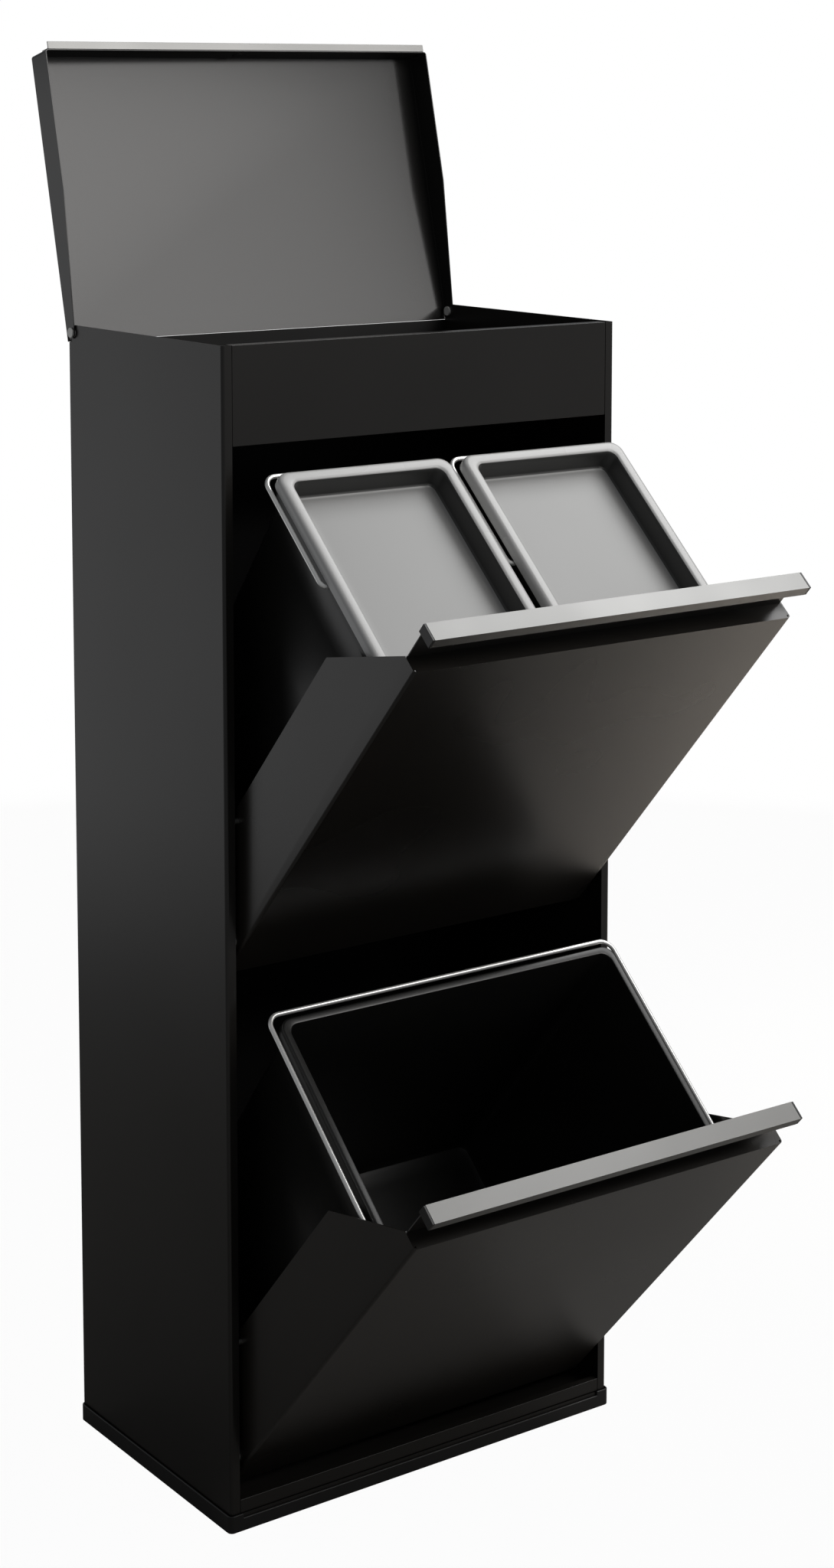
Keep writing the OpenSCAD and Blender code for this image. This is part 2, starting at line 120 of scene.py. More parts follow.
def link_object(name: str, mesh: Mesh) -> Object:
    """Puts a mesh into the scene as an object at the origin.

    Args:
        name: The piece's name.
        mesh: Its mesh, already in its place in the row frame.

    Returns:
        The new object.
    """
    mesh.name = name
    piece = bpy.data.objects.new(name, mesh)
    bpy.context.scene.collection.objects.link(piece)
    return piece


def smooth(mesh: Mesh, angle: float = 35.0) -> None:
    """Shades a mesh smooth, except over edges sharper than the angle in degrees."""
    mesh.shade_smooth()
    mesh.set_sharp_from_angle(angle=math.radians(angle))


# ---------------------------------------------------------------- finishes


class Grain(Enum):
    """Which way a drawn or brushed finish runs."""

    ALONG_X = (0.02, 1.0, 1.0)
    EVEN = (1.0, 1.0, 1.0)


@dataclass(frozen=True)
class Finish:
    """What every finish has.

    Attributes:
        name: The real material and how its surface was made.
        slot: The record's slot that it belongs to; it is not used.
        base: Its main colour, as sRGB hex.
        other: The colour that its slow variation runs to.
        rough: Its lowest and highest roughness.
        blotch_mm: The size of the slow variation in its colour.
        grain_mm: The size of its fine relief.
        relief_mm: The height of its fine relief.
        grain: The way that its relief runs.
    """

    name: str
    slot: str
    base: str
    other: str
    rough: tuple[float, float]
    blotch_mm: float
    grain_mm: float
    relief_mm: float
    grain: Grain = Grain.EVEN

    def shader_values(self) -> dict[str, Any]:
        """The constants set straight on the shader."""
        return {}

    def material(self) -> Material:
        """Makes the material once, then gives the same one.

        Returns:
            The finished material.
        """
        found = bpy.data.materials.get(self.name)
        if found:
            return found
        made = bpy.data.materials.new(self.name)
        made.use_nodes = True
        tree = made.node_tree
        tree.nodes.clear()
        place = add_node(tree, "ShaderNodeTexCoord").outputs["Object"]
        shader = add_node(tree, "ShaderNodeBsdfPrincipled", values=self.shader_values())
        self.paint(tree, place, shader)
        self.relieve(tree, place, shader)
        add_node(tree, "ShaderNodeOutputMaterial", links={"Surface": shader.outputs["BSDF"]})
        return made

    def paint(self, tree: Tree, place: Any, shader: bpy.types.Node) -> None:
        """Gives the shader its slow changes of colour and gloss.

        Args:
            tree: The material's tree.
            place: The output with the place on the object.
            shader: The shader to feed.
        """
        blotch = add_node(
            tree, "ShaderNodeTexNoise",
            values={"Scale": per_metre(self.blotch_mm), "Detail": 1.0, "Roughness": 0.5},
            links={"Vector": place},
        )
        colour = add_node(
            tree, "ShaderNodeMix", {"data_type": "RGBA"},
            values={6: linear(self.base), 7: linear(self.other)},
            links={"Factor": blotch.outputs["Fac"]},
        )
        gloss = add_node(
            tree, "ShaderNodeMapRange",
            values={"From Min": 0.0, "From Max": 1.0, "To Min": self.rough[0], "To Max": self.rough[1]},
            links={"Value": blotch.outputs["Fac"]},
        )
        tree.links.new(colour.outputs[2], shader.inputs["Base Color"])
        tree.links.new(gloss.outputs["Result"], shader.inputs["Roughness"])

    def relieve(self, tree: Tree, place: Any, shader: bpy.types.Node) -> None:
        """Gives the shader its fine relief.

        Args:
            tree: The material's tree.
            place: The output with the place on the object.
            shader: The shader to feed.
        """
        stretched = add_node(
            tree, "ShaderNodeMapping", values={"Scale": self.grain.value}, links={"Vector": place}
        )
        fine = add_node(
            tree, "ShaderNodeTexNoise",
            values={"Scale": per_metre(self.grain_mm), "Detail": 2.0, "Roughness": 0.5},
            links={"Vector": stretched.outputs["Vector"]},
        )
        bump = add_node(
            tree, "ShaderNodeBump",
            values={"Strength": 1.0, "Distance": self.relief_mm * MM},
            links={"Height": fine.outputs["Fac"]},
        )
        tree.links.new(bump.outputs["Normal"], shader.inputs["Normal"])


@dataclass(frozen=True)
class PowderCoat(Finish):
    """Baked powder on steel: an even satin film with the faint ripple called orange peel."""

    specular: float = 0.5

    def shader_values(self) -> dict[str, Any]:
        """A plain dielectric film, without a second clear coat."""
        return {"IOR": 1.5, "Specular IOR Level": self.specular}


@dataclass(frozen=True)
class Moulded(Finish):
    """Injection-moulded plastic: a softer gloss with the fine grain of the eroded mould."""

    specular: float = 0.5

    def shader_values(self) -> dict[str, Any]:
        """A dielectric that bends light a little less than glass."""
        return {"IOR": 1.49, "Specular IOR Level": self.specular}


@dataclass(frozen=True)
class BareMetal(Finish):
    """Bare or plated metal, whose highlights are drawn out along its grain."""

    metallic: float = 1.0

    def shader_values(self) -> dict[str, Any]:
        """Only the metal itself: its index stays as it is."""
        return {"Metallic": self.metallic}


# Black polyester powder, satin: it mirrors pale things softly and is near black elsewhere. Real orange
# peel is about 1 mm; it is drawn at 3 mm so that it shows.
BODY_COAT = PowderCoat(
    "satin_black_powder_coated_steel", "black_steel", "1a1917", "211f1d", (0.27, 0.33), 170, 3.0, 0.012
)
# The drawer fronts have the same powder, rolled flatter, so they mirror the floor a little more clearly.
FRONT_COAT = PowderCoat(
    "satin_black_powder_coated_front_sheet", "black_steel", "1b1a18", "24211e", (0.25, 0.31), 140, 3.0, 0.010
)
# The lid's inside is the smoothest face: it mirrors its own flanges at close range.
LID_COAT = PowderCoat(
    "satin_black_powder_coated_lid_sheet", "black_steel", "1b1b1a", "201f1e", (0.19, 0.22), 300, 3.0, 0.004
)
# Inside sheets get a thinner coat, which dries duller.
INNER_COAT = PowderCoat(
    "thin_black_powder_coated_inner_sheet", "black_steel", "141414", "1b1a1a", (0.42, 0.52), 120, 2.5, 0.02,
    specular=0.35,
)
# The base trim is moulded polypropylene with a fine grain that breaks its gloss.
BASE_PLASTIC = Moulded(
    "moulded_black_polypropylene_base", "base_plastic", "131313", "1a1919", (0.40, 0.5), 60, 1.5, 0.02
)
# Satin silver: bead-blasted and anodised aluminium, drawn along its length.
HANDLE_METAL = BareMetal(
    "satin_anodised_aluminium_handle", "handle_metal", "757574", "6b6b6a", (0.30, 0.38), 90, 0.8, 0.010,
    Grain.ALONG_X,
)
# Handle plugs: small black nylon mouldings with a satin skin.
CAP_PLASTIC = Moulded(
    "moulded_black_nylon_cap", "cap_plastic", "111111", "171717", (0.35, 0.42), 20, 1.0, 0.01
)
# Bins: black polypropylene with faint flow marks.
BIN_PLASTIC = Moulded(
    "moulded_black_polypropylene_bin", "bin_plastic", "161615", "1c1c1b", (0.26, 0.33), 80, 1.6, 0.015
)
# Bin lids: grey polypropylene. The panel in the recess has the eroded mould's soft sheen. The border is
# polished in the mould to a smoother gloss, and its paler grey is a painted highlight. The recess's walls
# take a darker grey than the
# plastic itself: painted shade, which stands for the deep shade that lies in a real one.
LID_PLASTIC = Moulded(
    "moulded_grey_polypropylene_lid", "bin_lid_plastic", "8e8e8d", "989897", (0.30, 0.38), 70, 1.4, 0.015
)
# Lid border: the smoother gloss is real; the paler grey than the panel is a painted highlight.
LID_BORDER = Moulded(
    "polished_grey_polypropylene_lid_border_painted_highlight", "bin_lid_plastic", "b4b4b3", "bcbcbb", (0.24, 0.3), 70, 1.4,
    0.004,
)
# Recess walls: the darker grey is painted shade, not the plastic's own colour.
LID_WALL = Moulded(
    "painted_shade_grey_polypropylene_recess_wall", "bin_lid_plastic", "383837", "414140", (0.34, 0.42), 40, 1.4,
    0.015,
)
# Bails: bright zinc-plated wire. It is shaded as a mix of metal and pale coat, which keeps the thin wire
# bright; full metal goes dark where it mirrors the black cabinet.
BAIL_WIRE = BareMetal(
    "zinc_plated_bright_drawn_wire", "bail_wire", "fafaf8", "eeeeec", (0.22, 0.3), 25, 1.0, 0.003,
    metallic=0.6,
)
# Bushes and lid pivots: white acetal, turned smooth.
BUSH_PLASTIC = Moulded(
    "turned_white_acetal_bush", "bush_plastic", "e4e4e0", "d8d8d4", (0.3, 0.38), 10, 0.8, 0.004
)
# Pins and studs: turned steel with a dull zinc plate.
PIN_STEEL = BareMetal(
    "zinc_plated_turned_steel_pin", "pin_steel", "9c9c9a", "868684", (0.3, 0.4), 8, 0.6, 0.004
)
# Blind rivets: blackened steel, which hardly stands out from the powder coat.
RIVET_STEEL = BareMetal(
    "blackened_steel_blind_rivet", "fastener_steel", "3a3a3a", "2c2c2c", (0.35, 0.45), 6, 0.6, 0.006
)
# Bumper: black rubber, matt from its mould.
BUMPER_RUBBER = Moulded(
    "moulded_black_rubber_bumper", "bumper_rubber", "0d0d0d", "121212", (0.6, 0.7), 6, 0.8, 0.01
)


# ---------------------------------------------------------------- makers


def dress(node: str, finish: Finish) -> None:
    """Gives a CAD node that stays its material.

    Args:
        node: The CAD node's name.
        finish: The finish that it takes.
    """
    mesh = frame["nodes"][node].data
    mesh.materials.clear()
    mesh.materials.append(finish.material())
    LOG.info("dressed %s in %s", node, finish.name)


def enlist(piece: Object, finish: Finish, body: str, nodes: Sequence[str]) -> Object:
    """Puts a finished piece on its body in place of its CAD nodes.

    Args:
        piece: The piece, in its place.
        finish: The finish that it wears.
        body: The CAD body that carries it.
        nodes: The CAD nodes that it stands for.

    Returns:
        The same piece.
    """
    if not piece.data.materials:
        piece.data.materials.append(finish.material())
    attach(piece, body)
    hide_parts(*nodes)
    LOG.info("made %s for %s on %s", piece.name, ", ".join(nodes), body)
    return piece


@dataclass(frozen=True)
class Softener:
    """Rounds the edges of folded or extruded pieces, as folding, deburring and powder do.

    Attributes:
        edge_mm: The width of the rounding.
        steps: How many faces go round it.
        angle: Edges sharper than this, in degrees, are rounded.
    """

    edge_mm: float = 0.35
    steps: int = 2
    angle: float = 40.0

    def make(self, node: str, piece: str, body: str, finish: Finish) -> Object:
        """Builds a rounded copy of a CAD node.

        Args:
            node: The CAD node.
            piece: The new piece's name.
            body: The body that carries it.
            finish: The finish that it wears.

        Returns:
            The new piece, on its body.
        """
        mesh = frame["nodes"][node].data.copy()
        mesh.materials.clear()
        shell = bmesh.new()
        shell.from_mesh(mesh)
        bmesh.ops.remove_doubles(shell, verts=shell.verts, dist=2e-6)
        bmesh.ops.dissolve_limit(shell, angle_limit=math.radians(0.4), verts=shell.verts, edges=shell.edges)
        shell.to_mesh(mesh)
        shell.free()
        smooth(mesh, 50.0)
        made = link_object(piece, mesh)
        bevel = made.modifiers.new("rounded_edges", "BEVEL")
        bevel.width = self.edge_mm * MM
        bevel.segments = self.steps
        bevel.limit_method = "ANGLE"
        bevel.angle_limit = math.radians(self.angle)
        bevel.use_clamp_overlap = True
        bevel.harden_normals = True
        return enlist(made, finish, body, [node])


@dataclass(frozen=True)
class Ring:
    """One level of a lofted moulding: a round-cornered rectangle.

    Attributes:
        inset: How far it lies inside the moulding's outline, in mm.
        height: Its height in mm.
        radius: Its corners' radius in mm.
        tone: Which of the moulding's finishes the faces up to this level wear.
    """

    inset: float
    height: float
    radius: float
    tone: int = 0


@dataclass(frozen=True)
class Moulding:
    """A tub-like moulding, lofted through rings from its underside round to its inside floor.

    Attributes:
        width: The outline's size along X, in mm.
        depth: The outline's size along Y, in mm.
        rings: Its levels, in order.
        corner_steps: How many faces go round each corner.
    """

    width: float
    depth: float
    rings: tuple[Ring, ...]
    corner_steps: int = 8

    def outline(self, ring: Ring) -> list[Vector]:
        """The points of one ring.

        Args:
            ring: The ring.

        Returns:
            Its points in mm, anticlockwise seen from above, centred on the origin.
        """
        half_w, half_d = self.width / 2 - ring.inset, self.depth / 2 - ring.inset
        r = max(0.4, min(ring.radius, half_w - 0.1, half_d - 0.1))
        points = []
        for quarter, (side_x, side_y) in enumerate(((1, 1), (-1, 1), (-1, -1), (1, -1))):
            middle = Vector((side_x * (half_w - r), side_y * (half_d - r), ring.height))
            for i in range(self.corner_steps + 1):
                a = math.radians(90 * quarter + 90 * i / self.corner_steps)
                points.append(middle + Vector((r * math.cos(a), r * math.sin(a), 0)))
        return points

    def mesh(self, name: str, place: Matrix) -> Mesh:
        """Lofts the moulding.

        Args:
            name: The mesh's name.
            place: What carries mm in the closed drawer to metres in the row frame.

        Returns:
            A closed mesh.
        """
        shell = bmesh.new()
        loops = [[shell.verts.new(place @ p) for p in self.outline(ring)] for ring in self.rings]
        count = len(loops[0])
        for low, high, ring in zip(loops, loops[1:], self.rings[1:]):
            for i in range(count):
                j = (i + 1) % count
                shell.faces.new((low[i], low[j], high[j], high[i])).material_index = ring.tone
        shell.faces.new(list(reversed(loops[0])))
        shell.faces.new(loops[-1])
        bmesh.ops.recalc_face_normals(shell, faces=shell.faces)
        mesh = bpy.data.meshes.new(name)
        shell.to_mesh(mesh)
        shell.free()
        smooth(mesh, 32.0)
        return mesh


def evaluated_copy(source: Object, name: str) -> Object:
    """Turns an object with a live geometry tree into a plain piece, and drops the source.

    Args:
        source: The object with the modifier.
        name: The new piece's name.

    Returns:
        The plain piece.
    """
    graph = bpy.context.evaluated_depsgraph_get()
    mesh = bpy.data.meshes.new_from_object(source.evaluated_get(graph), depsgraph=graph)
    source.modifiers.clear()
    bpy.data.objects.remove(source)
    smooth(mesh, 45.0)
    return link_object(name, mesh)


class GeometryRule:
    """A geometry tree with named inputs, which makes one piece."""

    def __init__(self, name: str, inputs: dict[str, str]) -> None:
        """Starts the tree.

        Args:
            name: The tree's name.
            inputs: Each input's name and socket type.
        """
        self.tree = bpy.data.node_groups.new(name, "GeometryNodeTree")
        face = self.tree.interface
        self.ids = {}
        for label, kind in {"Geometry": "NodeSocketGeometry", **inputs}.items():
            self.ids[label] = face.new_socket(label, in_out="INPUT", socket_type=kind).identifier
        face.new_socket("Geometry", in_out="OUTPUT", socket_type="NodeSocketGeometry")
        self.given = add_node(self.tree, "NodeGroupInput").outputs

    def finish(self, geometry: Any) -> None:
        """Ends the tree in real geometry with its material.

        Args:
            geometry: The output that holds the geometry.
        """
        real = add_node(self.tree, "GeometryNodeRealizeInstances", links={"Geometry": geometry})
        worn = add_node(
            self.tree, "GeometryNodeSetMaterial",
            links={"Geometry": real.outputs["Geometry"], "Material": self.given["Material"]},
        )
        add_node(self.tree, "NodeGroupOutput", links={"Geometry": worn.outputs["Geometry"]})

    def run(self, base: Object, name: str, values: dict[str, Any]) -> Object:
        """Runs the tree on a base object.

        Args:
            base: The object that the tree starts from.
            name: The new piece's name.
            values: Each input's value, by its name.

        Returns:
            The plain piece.
        """
        modifier = base.modifiers.new(name, "NODES")
        modifier.node_group = self.tree
        for label, value in values.items():
            modifier[self.ids[label]] = value
        return evaluated_copy(base, name)


class RivetRow(GeometryRule):
    """Rows of low domed rivet heads, one on each point of a base mesh."""

    def __init__(self) -> None:
        """Builds the tree: a flattened ball on each point, with a ring step like a blind rivet's flange."""
        super().__init__(
            "rivet_row",
            {
                "Head Radius": "NodeSocketFloat",
                "Head Height": "NodeSocketFloat",
                "Turn": "NodeSocketVector",
                "Material": "NodeSocketMaterial",
            },
        )
        tree, given = self.tree, self.given
        ball = add_node(tree, "GeometryNodeMeshUVSphere", values={"Segments": 20, "Rings": 10, "Radius": 1.0})
        rim = add_node(tree, "GeometryNodeMeshCylinder", values={"Vertices": 20, "Radius": 1.0, "Depth": 0.5})
        both = add_node(tree, "GeometryNodeJoinGeometry")
        tree.links.new(ball.outputs["Mesh"], both.inputs[0])
        tree.links.new(rim.outputs["Mesh"], both.inputs[0])
        size = add_node(
            tree, "ShaderNodeCombineXYZ",
            links={"X": given["Head Radius"], "Y": given["Head Radius"], "Z": given["Head Height"]},
        )
        heads = add_node(
            tree, "GeometryNodeInstanceOnPoints",
            links={
                "Points": given["Geometry"],
                "Instance": both.outputs[0],
                "Rotation": given["Turn"],
                "Scale": size.outputs["Vector"],
            },
        )
        self.finish(heads.outputs["Instances"])

    def row(
        self,
        name: str,
        points: Sequence[Vector],
        radius: float,
        height: float,
        turn: Sequence[float],
        finish: Finish,
    ) -> Object:
        """Makes the heads.

        Args:
            name: The new piece's name.
            points: The heads' places, in metres.
            radius: A head's radius in mm.
            height: A head's height in mm.
            turn: Turns the heads' Z axis to face outwards, in radians.
            finish: What the rivets are made of.

        Returns:
            The plain piece.
        """
        mesh = bpy.data.meshes.new(name)
        mesh.from_pydata([tuple(p) for p in points], [], [])
        values = {
            "Head Radius": radius * MM,
            "Head Height": height * MM,
            "Turn": tuple(turn),
            "Material": finish.material(),
        }
        return self.run(link_object(name + "_points", mesh), name, values)


class BentWire(GeometryRule):
    """A wire that follows a path with equal bends at its corners."""

    def __init__(self) -> None:
        """Builds the tree: fillets the path's corners, then sweeps the wire's round section along it."""
        super().__init__(
            "bent_wire",
            {
                "Wire Radius": "NodeSocketFloat",
                "Bend Radius": "NodeSocketFloat",
                "Material": "NodeSocketMaterial",
            },
        )
        tree, given = self.tree, self.given
        path = add_node(tree, "GeometryNodeMeshToCurve", links={"Mesh": given["Geometry"]})
        bent = add_node(
            tree, "GeometryNodeFilletCurve", {"mode": "POLY"}, {"Count": 10, "Limit Radius": True},
            {"Curve": path.outputs["Curve"], "Radius": given["Bend Radius"]},
        )
        section = add_node(
            tree, "GeometryNodeCurvePrimitiveCircle",
            values={"Resolution": 16},
            links={"Radius": given["Wire Radius"]},
        )
        swept = add_node(
            tree, "GeometryNodeCurveToMesh", values={"Fill Caps": True},
            links={"Curve": bent.outputs["Curve"], "Profile Curve": section.outputs["Curve"]},
        )
        self.finish(swept.outputs["Mesh"])

    def wire(self, name: str, points: Sequence[Vector], radius: float, bend: float, finish: Finish) -> Object:
        """Makes the wire.

        Args:
            name: The new piece's name.
            points: The path's corners, in metres.
            radius: The wire's radius in mm.
            bend: The bends' radius in mm.
            finish: What the wire is made of.

        Returns:
            The plain piece.
        """
        mesh = bpy.data.meshes.new(name)
        mesh.from_pydata([tuple(p) for p in points], [(i, i + 1) for i in range(len(points) - 1)], [])
        values = {
            "Wire Radius": radius * MM,
            "Bend Radius": bend * MM,
            "Material": finish.material(),
        }
        return self.run(link_object(name + "_path", mesh), name, values)


# ---------------------------------------------------------------- studio


@dataclass
class SoftBox:
    """One soft rectangular light.

    Attributes:
        name: Its name.
        place: Where it stands, in metres.
        aim: What it points at.
        size: Its width and height in metres.
        power: Its power in watts.
        tint: Its colour, as sRGB hex.
        spread: How wide it shines, in degrees; a small angle makes a pool.
    """

    name: str
    place: tuple[float, float, float]
    aim: tuple[float, float, float]
    size: tuple[float, float]
    power: float
    tint: str = "ffffff"
    spread: float = 180.0

    def stand(self) -> None:
        """Puts the light into the scene."""
        lamp = bpy.data.lights.new(self.name, "AREA")
        lamp.shape = "RECTANGLE"
        lamp.size, lamp.size_y = self.size
        lamp.energy = self.power
        lamp.color = linear(self.tint)[:3]
        lamp.spread = math.radians(self.spread)
        holder = bpy.data.objects.new(self.name, lamp)
        holder.location = self.place
        holder.rotation_mode = "QUATERNION"
        holder.rotation_quaternion = (Vector(self.aim) - Vector(self.place)).to_track_quat("-Z", "Y")
        holder.visible_camera = False
        bpy.context.scene.collection.objects.link(holder)


@dataclass
class Studio:
    """The camera, the pale floor and the soft light round the cabinet.

    Attributes:
        eye: Where the camera stands, in metres.
        yaw: How far it looks to the right of +Y, in radians.
        pitch: How far it looks down, in radians.
        lens: Its focal length in mm.
        shift: Its vertical shift, as a share of the picture's long side.
        floor_radius: The floor's radius in metres.
        fade_from: Where the floor starts to fade out, in metres from the middle.
        fade_to: Where it has gone, as a share of its radius.
        floor_clear: How much of the floor the camera sees through. Other rays see it whole, so the cabinet
            mirrors a floor that hardly shows.
        floor_colour: The floor paint's colour, as sRGB hex.
        fill: The strength of the surroundings' light.
        fill_colour: Its colour, as sRGB hex.
        lights: The soft boxes.
    """

    eye: tuple[float, float, float] = (-1.4529, -2.1454, 1.2682)
    yaw: float = 0.6215
    pitch: float = 0.1142
    lens: float = 64.86
    shift: float = -0.2397
    floor_radius: float = 2.6
    fade_from: float = 0.9
    fade_to: float = 0.97
    floor_clear: float = 0.97
    floor_colour: str = "908e8b"
    fill: float = 0.21
    fill_colour: str = "f2f4f7"
    lights: list[SoftBox] = field(default_factory=lambda: [
        SoftBox("key_front_right", (2.9, -1.4, 2.0), (0.0, 0.0, 0.8), (1.2, 1.2), 10, "fffaf4"),
        SoftBox("top_soft", (1.55, -0.38, 2.7), (0.0, -0.3, 0.8), (1.5, 1.1), 26),
        SoftBox("lid_glow", (1.3, -2.4, 2.55), (0.0, 0.15, 1.2), (1.8, 1.4), 36, "fffdfb"),
        SoftBox("left_rear_glow", (-1.7, 1.9, 0.6), (-0.2, -0.1, 0.5), (1.7, 1.6), 3.2),
        SoftBox("floor_wash", (1.4, -0.2, 2.6), (1.35, 0.05, 0.0), (0.4, 0.4), 13, "fff6ec", 36.0),
    ])

    def camera(self) -> None:
        """Stands the camera at its place and makes it the scene's own."""
        data = bpy.data.cameras.new("camera")
        data.sensor_width = 36.0
        data.sensor_fit = "AUTO"
        data.lens = self.lens
        data.shift_y = self.shift
        data.clip_start, data.clip_end = 0.05, 50.0
        eye = bpy.data.objects.new("camera", data)
        level = math.cos(self.pitch)
        ahead = Vector((math.sin(self.yaw) * level, math.cos(self.yaw) * level, -math.sin(self.pitch)))
        eye.location = self.eye
        eye.rotation_mode = "QUATERNION"
        eye.rotation_quaternion = ahead.to_track_quat("-Z", "Y")
        bpy.context.scene.collection.objects.link(eye)
        bpy.context.scene.camera = eye

    def floor(self) -> None:
        """Lays a round pale floor whose edge fades out, so that no horizon shows."""
        mesh = bpy.data.meshes.new("floor")
        disc = bmesh.new()
        bmesh.ops.create_circle(disc, cap_ends=True, radius=self.floor_radius, segments=96)
        disc.to_mesh(mesh)
        disc.free()
        mesh.materials.append(self.floor_paint())
        link_object("floor", mesh)

    def floor_paint(self) -> Material:
        """Makes the floor's matt paint, which fades out with distance and is thin to the camera.

        Returns:
            The paint.
        """
        made = bpy.data.materials.new("pale_studio_floor_paint")
        made.use_nodes = True
        tree = made.node_tree
        tree.nodes.clear()
        place = add_node(tree, "ShaderNodeTexCoord").outputs["Object"]
        reach = add_node(tree, "ShaderNodeVectorMath", {"operation": "LENGTH"}, links={0: place})
        fade = add_node(
            tree, "ShaderNodeMapRange", {"interpolation_type": "SMOOTHSTEP"},
            values={"From Min": self.fade_from, "From Max": self.floor_radius * self.fade_to},
            links={"Value": reach.outputs["Value"]},
        )
        eye = add_node(tree, "ShaderNodeLightPath").outputs["Is Camera Ray"]
        faint = add_node(tree, "ShaderNodeMath", {"operation": "MULTIPLY"}, {1: self.floor_clear}, {0: eye})
        thin = add_node(
            tree, "ShaderNodeMath", {"operation": "MAXIMUM"},
            links={0: fade.outputs["Result"], 1: faint.outputs["Value"]},
        )
        paint = add_node(tree, "ShaderNodeBsdfDiffuse", values={"Color": linear(self.floor_colour)})
        clear = add_node(tree, "ShaderNodeBsdfTransparent")
        mixed = add_node(
            tree, "ShaderNodeMixShader",
            links={0: thin.outputs["Value"], 1: paint.outputs["BSDF"], 2: clear.outputs["BSDF"]},
        )
        add_node(tree, "ShaderNodeOutputMaterial", links={"Surface": mixed.outputs["Shader"]})
        return made

    def backdrop(self) -> None:
        """Makes the surroundings white to the eye, but only a dim fill for the paint to mirror."""
        world = bpy.data.worlds.new("white_studio")
        bpy.context.scene.world = world
        world.use_nodes = True
        tree = world.node_tree
        tree.nodes.clear()
        seen = add_node(tree, "ShaderNodeLightPath").outputs["Is Camera Ray"]
        white = add_node(tree, "ShaderNodeBackground", values={"Color": linear("ffffff"), "Strength": 1.0})
        dim = add_node(
            tree, "ShaderNodeBackground", values={"Color": linear(self.fill_colour), "Strength": self.fill}
        )
        mixed = add_node(
            tree, "ShaderNodeMixShader",
            links={0: seen, 1: dim.outputs["Background"], 2: white.outputs["Background"]},
        )
        add_node(tree, "ShaderNodeOutputWorld", links={"Surface": mixed.outputs["Shader"]})
        bpy.context.scene.view_settings.view_transform = "Standard"

    def build(self) -> None:
        """Sets up the whole studio, the camera first."""
        self.camera()
        self.floor()
        self.backdrop()
        for light in self.lights:
            light.stand()
        LOG.info("studio ready with %d lights", len(self.lights))


# ---------------------------------------------------------------- the cabinet


@dataclass
class Shell:
    """The fixed cabinet: sides, back, fascia, compartment, brace and base. Sizes are in mm.

    Attributes:
        depth: The cabinet's depth.
        fold_edge: The rounding of folded sheet's edges.
        base_edge: The rounding of the moulded base's edges.
        rivet_count: How many rivets hold each side of the back.
        rivet_x: How far the rows of rivets stand from the middle.
        rivet_low: The lowest rivet's height.
        rivet_high: The highest rivet's height.
        rivet_radius: A rivet head's radius.
        rivet_head: A rivet head's height.
    """

    depth: float = 265.0
    fold_edge: float = 0.35
    base_edge: float = 0.8
    rivet_count: int = 5
    rivet_x: float = 203.5
    rivet_low: float = 56.0
    rivet_high: float = 994.0
    rivet_radius: float = 3.2
    rivet_head: float = 1.0

    def build(self) -> None:
        """Builds and dresses the shell."""
        edge = Softener(self.fold_edge)
        for side in ("left", "right"):
            edge.make(f"side_panel_{side}", f"folded_side_{side}", "cabinet", BODY_COAT)
        edge.make("fascia_panel", "folded_fascia", "cabinet", BODY_COAT)
        edge.make("bottom_panel", "folded_plinth", "cabinet", BODY_COAT)
        Softener(self.base_edge, 3).make("base_tray", "moulded_base_tray", "cabinet", BASE_PLASTIC)
        for node in ("compartment_floor", "mid_brace", "back_panel"):
            dress(node, INNER_COAT)
        for node in ("lid_pivot_pins", "lid_pivot_washers"):
            dress(node, BUSH_PLASTIC)
        for node in ("upper_pivot_pins", "lower_pivot_pins"):
            dress(node, PIN_STEEL)
        self.rivets()

    def rivets(self) -> None:
        """Sets the rows of rivets that hold the back panel to the side panels."""
        step = (self.rivet_high - self.rivet_low) / (self.rivet_count - 1)
        back = self.depth / 2 * MM
        points = [
            Vector((side * self.rivet_x * MM, back, (self.rivet_low + i * step) * MM))
            for side in (-1, 1) for i in range(self.rivet_count)
        ]
        to_rear = (-math.pi / 2, 0, 0)
        row = RivetRow().row(
            "blind_rivets_back", points, self.rivet_radius, self.rivet_head, to_rear, RIVET_STEEL
        )
        enlist(row, RIVET_STEEL, "cabinet", ["back_rivets"])


@dataclass
class Lid:
    """The raised lid with its grip strip and bumper.

    Attributes:
        fold_edge: The rounding of the folded sheet's edges, in mm.
        strip_edge: The rounding of the grip strip's edges, in mm.
    """

    fold_edge: float = 0.35
    strip_edge: float = 0.3

    def build(self) -> None:
        """Builds and dresses the lid."""
        Softener(self.fold_edge).make("lid_panel", "folded_lid", "lid", LID_COAT)
        Softener(self.strip_edge).make("lid_grip_strip", "lid_grip_strip_rounded", "lid", HANDLE_METAL)
        dress("lid_bumper", BUMPER_RUBBER)


